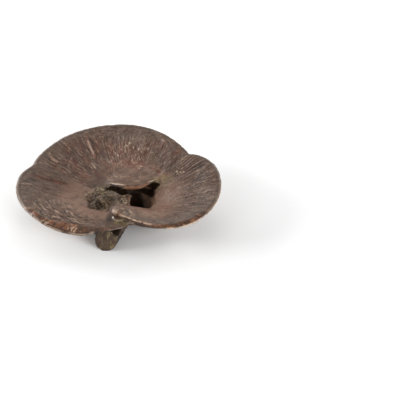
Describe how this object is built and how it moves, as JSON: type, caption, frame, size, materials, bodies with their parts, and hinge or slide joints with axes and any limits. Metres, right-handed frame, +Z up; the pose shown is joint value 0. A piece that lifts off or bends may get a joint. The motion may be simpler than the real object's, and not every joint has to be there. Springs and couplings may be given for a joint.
{
  "type": "bracket fungus",
  "caption": "Dried bracket fungus: a shallow dish of lobes with rolled rims, a deep throat under a small inner shelf, and a short cut stem lying on the table.",
  "frame": {"origin": "on the table, under the middle of the fungus's box", "axes": "+Z up; the stem's cut end faces -Y, the tall back lobe is towards +Y, and the right lobe is towards +X"},
  "size_m": [0.1506, 0.1056, 0.0356],
  "materials": {
    "lacquered_crust": "satin brown crust, with worn pale rims"
  },
  "bodies": {
    "root": {"bracket_fungus": "lacquered_crust"}
  },
  "joints": []
}
